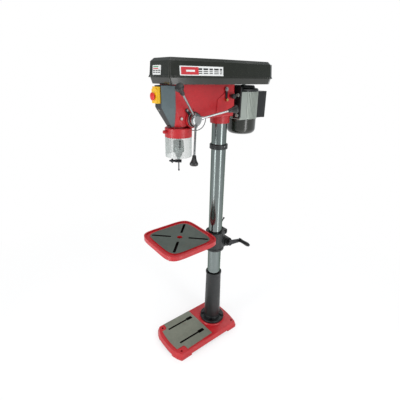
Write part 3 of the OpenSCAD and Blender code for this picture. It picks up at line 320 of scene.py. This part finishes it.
# near-black painted shade for the insides of the T-slots, which sit in deep shadow
MAT["slot_shade_paint"] = moulded("slot_shade_paint", (0.010, 0.006, 0.006), 0.7, 0.0, 0.3, 0.1)
MAT["brass"] = ground("brass", (0.62, 0.42, 0.16), 0.25, (300, 300, 300), 0.05, 0.3)
MAT["label_white"] = moulded("label_white", (0.78, 0.79, 0.78), 0.35, 0.2, 0.05)
MAT["label_red"] = moulded("label_red", (0.55, 0.02, 0.03), 0.35, 0.2, 0.05)
MAT["label_green"] = moulded("label_green", (0.03, 0.30, 0.10), 0.35, 0.2, 0.05)
MAT["label_dark"] = moulded("label_dark", (0.03, 0.03, 0.03), 0.4, 0.2, 0.05)


def finish_node(node):
    obj = NODES[node]
    obj.data.materials.clear()
    obj.data.materials.append(MAT[SLOT_OF[node]])
    for poly in obj.data.polygons:
        poly.material_index = 0


for node in NODES:
    finish_node(node)

# ---------------------------------------------------------------- rounded copies of CAD nodes


def soften(node, width, segments=2, angle=32, extra=(), choose=None):
    """A copy of a CAD node with its coplanar triangles joined and its edges rounded. extra lists
    more materials, and choose(centre, normal) gives the index of the one a face takes."""
    mesh = NODES[node].data.copy()
    mesh.name = node + "_body"
    mesh.materials.clear()
    for m in (SLOT_OF[node], *extra):
        mesh.materials.append(MAT[m])
    bm = bmesh.new()
    bm.from_mesh(mesh)
    bmesh.ops.remove_doubles(bm, verts=bm.verts, dist=2e-6)
    bmesh.ops.dissolve_degenerate(bm, dist=2e-6, edges=bm.edges)
    bmesh.ops.dissolve_limit(bm, angle_limit=math.radians(0.4), use_dissolve_boundaries=False,
                             verts=bm.verts, edges=bm.edges)
    for face in bm.faces:
        face.smooth = True
        face.material_index = choose(face.calc_center_median(), face.normal) if choose else 0
    bm.to_mesh(mesh)
    bm.free()
    if mesh.has_custom_normals:
        mesh.normals_split_custom_set([(0, 0, 0)] * len(mesh.loops))
    obj = bpy.data.objects.new(node + "_soft", mesh)
    bpy.context.scene.collection.objects.link(obj)
    bevel = obj.modifiers.new("round", "BEVEL")
    bevel.width, bevel.segments = width, segments
    bevel.limit_method, bevel.angle_limit = "ANGLE", math.radians(angle)
    bevel.use_clamp_overlap = True
    bevel.harden_normals = False
    normals = obj.modifiers.new("normals", "WEIGHTED_NORMAL")
    normals.keep_sharp, normals.weight = False, 60
    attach(obj, BODY_OF[node])
    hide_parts(node)
    return obj


JOINTS = {j["name"]: j for j in frame["record"]["behaviour"]["joints"]}
mounts = {m["name"]: m for m in frame["record"]["mounts"]}
OPENINGS = {o["name"]: o["box_m"] for o in frame["record"]["physics"]["openings"]}
PAD_Z = mounts["base_pad"]["pos_m"][2]
PLATE = Vector(mounts["table_face"]["pos_m"])
AXIS = Vector((0.0, PLATE.y, 0.0))          # the spindle's axis
SLOT_HALF = 0.0125                          # half the width of a T-slot's wide part, and a little


def level(normal, z, height):
    return normal.z > 0.99 and abs(z - height) < 0.0003


def base_part(centre, normal):
    """Machined pad, T-slot walls in near-black painted shade, paint."""
    if level(normal, centre.z, PAD_Z):
        return 1
    for low, high in (OPENINGS["base_slot_left"], OPENINGS["base_slot_right"]):
        middle = (low[0] + high[0]) / 2
        if abs(centre.x - middle) < SLOT_HALF and low[1] - 0.01 < centre.y < high[1] + 0.01 and centre.z > 0.02:
            return 2
    return 0


def table_part(centre, normal):
    """Machined plate, diagonal slot walls in near-black painted shade, paint."""
    if level(normal, centre.z, PLATE.z):
        return 1
    flat = Vector((centre.x, centre.y, 0)) - AXIS
    along, across = sorted((abs(flat.x + flat.y), abs(flat.x - flat.y)), reverse=True)
    inside = 0.040 * 1.414 < along < 0.162 * 1.414 and across < SLOT_HALF * 1.414
    if inside and PLATE.z - 0.021 < centre.z < PLATE.z + 0.0005 and not level(normal, centre.z, PLATE.z - 0.005):
        return 2
    return 0


def nose_sheen_part(centre, normal):
    """Front and top faces in black paint; the side faces keep the grey-blue finish, a painted sheen standing in
    for the lights reflected in the black cover.
    """
    return 1 if abs(normal.x) < 0.4 else 0


def dial_part(centre, normal):
    """Black face inside the bright rim."""
    return 1 if abs(normal.x) > 0.9 else 0


def tension_part(centre, normal):
    """Dark lever with a brass tip and a bright hub."""
    below = JOINTS["tension_turn"]["pos_m"][2] - centre.z
    return 2 if below > 0.040 else (1 if below > 0.008 else 0)



soften("base", 0.0022, extra=["machined_iron", "slot_shade_paint"], choose=base_part)
soften("table", 0.0012, extra=["table_iron", "slot_shade_paint"], choose=table_part)
soften("nose_cover", 0.0010, extra=["black_paint"], choose=nose_sheen_part)
soften("depth_dial", 0.0002, extra=["black_plastic"], choose=dial_part)
soften("tension_lever", 0.0006, extra=["black_oxide", "brass"], choose=tension_part)
for node, width in {
    "column_support": 0.0015, "rack_collar": 0.0006, "head_casting": 0.0022,
    "table_bracket": 0.0016, "table_arm": 0.0022, "pulley_tray": 0.0014, "cover_lid": 0.0024,
    "switch_box": 0.0007, "switch_flap": 0.0008, "stop_button": 0.0006, "start_button": 0.0004,
    "guard_collar": 0.0010, "crank_shaft": 0.0012, "crank_grip": 0.0006, "feed_flange": 0.0005,
    "feed_hub": 0.0007, "spring_cap": 0.0008, "motor_plate": 0.0010, "stator_housing": 0.0004,
    "top_bell": 0.0009, "fan_cover": 0.0008, "terminal_box": 0.0012,
    "slide_lock": 0.0006, "feed_knobs": 0.0006, "chuck_body": 0.0005, "chuck_key": 0.0005,
    "bracket_lock": 0.0006, "table_lock": 0.0006, "guard_shield": 0.0005,
}.items():
    soften(node, width)

# ---------------------------------------------------------------- labels on the lid


def label(name, axis, origin, columns, rows, marks):
    """Sticker laid on the lid: rays run along axis (0 for X, 1 for Y) from outside. columns and
    rows are the grid lines across and up; marks gives each cell's material index."""
    lid = NODES["cover_lid"]
    tree = BVHTree.FromPolygons([lid.matrix_world @ v.co for v in lid.data.vertices],
                                [tuple(p.vertices) for p in lid.data.polygons])
    way = Vector((-1, 0, 0)) if axis == 0 else Vector((0, 1, 0))
    bm = bmesh.new()
    grid = []
    for z in rows:
        line = []
        for c in columns:
            start = Vector((origin, c, z)) if axis == 0 else Vector((c, origin, z))
            hit, normal, _, _ = tree.ray_cast(start, way)
            line.append(bm.verts.new(hit + normal * LABEL_LIFT))
        grid.append(line)
    for j in range(len(rows) - 1):
        for i in range(len(columns) - 1):
            quad = [grid[j][i], grid[j][i + 1], grid[j + 1][i + 1], grid[j + 1][i]]
            face = bm.faces.new(quad)
            face.material_index = marks(i, j)
    mesh = bpy.data.meshes.new(name)
    bm.to_mesh(mesh)
    bm.free()
    for m in ("label_white", "label_red", "label_green", "label_dark"):
        mesh.materials.append(MAT[m])
    obj = bpy.data.objects.new(name, mesh)
    bpy.context.scene.collection.objects.link(obj)
    skin = obj.modifiers.new("thickness", "SOLIDIFY")
    skin.thickness, skin.offset = 0.0003, -1.0
    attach(obj, "lid")
    return obj


LABEL_LIFT = 0.0004


def steps(low, high, count):
    return [low + (high - low) * k / count for k in range(count + 1)]


def side_marks(i, j):
    """Red block on the left, dark bars beside it, white border."""
    if i in (0, 35) or j in (0, 9):
        return 0
    if i < 15:
        return 1 if not (3 < j < 6 and 4 < i < 12) else 0
    return 3 if j in (2, 4, 6, 7) and i % 9 not in (0, 5) else 0


def front_marks(i, j):
    """Plain green and red bars over dark ones."""
    if i in (0, 15) or j in (0, 9):
        return 0
    if j in (6, 8):
        return (2 if j == 8 else 1) if i < 11 else 0
    return 3 if j in (2, 4) and i % 5 != 0 else 0


label("side_label", 0, 0.3, steps(-0.185, 0.028, 36), steps(1.581, 1.618, 10), side_marks)
label("front_label", 1, -0.5, steps(-0.050, 0.018, 16), steps(1.582, 1.620, 10), front_marks)

# ---------------------------------------------------------------- stage, light, view


def make_stage():
    """Plain white floor that runs into the white backdrop with no horizon line."""
    mesh = bpy.data.meshes.new("floor")
    bm = bmesh.new()
    bmesh.ops.create_grid(bm, x_segments=2, y_segments=2, size=60.0)
    bm.to_mesh(mesh)
    bm.free()
    s = Surface("floor_white", (0.93, 0.93, 0.93), 0.85, specular=0.1)
    s.bump(s.noise(3, 2), 0.02, 0.01)
    nodes, links = s.tree.nodes, s.tree.links
    path = nodes.new("ShaderNodeLightPath")
    away = nodes.new("ShaderNodeVectorMath")
    away.operation = "LENGTH"
    links.new(s.coord, away.inputs[0])
    fade = s.spread(away.outputs["Value"], 0.5, 2.2, 0.55, 1.0)
    white = nodes.new("ShaderNodeEmission")
    mix = nodes.new("ShaderNodeMixShader")
    links.new(s.both(fade, path.outputs["Is Camera Ray"]), mix.inputs[0])
    links.new(s.bsdf.outputs[0], mix.inputs[1])
    links.new(white.outputs[0], mix.inputs[2])
    links.new(mix.outputs[0], s.out.inputs[0])
    mesh.materials.append(s.mat)
    obj = bpy.data.objects.new("floor", mesh)
    bpy.context.scene.collection.objects.link(obj)


def softbox(name, azimuth, elevation, distance, width, height, power, aim=(0, 0, 0.9), color=(1, 1, 1)):
    """Area light seen from aim in the direction azimuth (from +X towards +Y) and elevation."""
    a, e = math.radians(azimuth), math.radians(elevation)
    way = Vector((math.cos(a) * math.cos(e), math.sin(a) * math.cos(e), math.sin(e)))
    data = bpy.data.lights.new(name, "AREA")
    data.shape, data.size, data.size_y = "RECTANGLE", width, height
    data.energy, data.color = power, color
    obj = bpy.data.objects.new(name, data)
    obj.location = Vector(aim) + way * distance
    obj.rotation_euler = way.to_track_quat("Z", "Y").to_euler()
    bpy.context.scene.collection.objects.link(obj)


def make_light():
    softbox("box_right", -2, 12, 3.2, 0.7, 2.8, 15)
    softbox("box_left", -93, 12, 3.2, 0.8, 2.8, 15)
    column = (0.0, JOINTS["table_swing"]["pos_m"][1], 0.0)
    for name, azimuth in (("strip_right", 0.6), ("strip_left", -89.0)):
        softbox(name, azimuth, 0, 1.25, 0.24, 1.9, 5.0, (column[0], column[1], 0.55))
    softbox("box_top", -40, 78, 3.0, 2.4, 2.4, 26, (0, 0, 1.0))
    softbox("box_back", 120, 35, 3.4, 2.2, 2.2, 20)
    world = bpy.data.worlds.new("studio")
    world.cycles.sampling_method = "NONE"
    world.use_nodes = True
    nt = world.node_tree
    nt.nodes.clear()
    out = nt.nodes.new("ShaderNodeOutputWorld")
    path = nt.nodes.new("ShaderNodeLightPath")
    shown = None
    for ray, color, strength in ((None, (0.97, 0.985, 1.0), 0.80), ("Is Glossy Ray", (0.90, 0.97, 1.0), 0.30),
                                 ("Is Camera Ray", (1, 1, 1), 1.0)):
        sky = nt.nodes.new("ShaderNodeBackground")
        sky.inputs[0].default_value = (*color, 1)
        sky.inputs[1].default_value = strength
        if ray:
            mix = nt.nodes.new("ShaderNodeMixShader")
            nt.links.new(path.outputs[ray], mix.inputs[0])
            nt.links.new(shown, mix.inputs[1])
            nt.links.new(sky.outputs[0], mix.inputs[2])
            shown = mix.outputs[0]
        else:
            shown = sky.outputs[0]
    nt.links.new(shown, out.inputs[0])
    bpy.context.scene.world = world


make_stage()
make_light()
bpy.context.scene.view_settings.view_transform = "Standard"
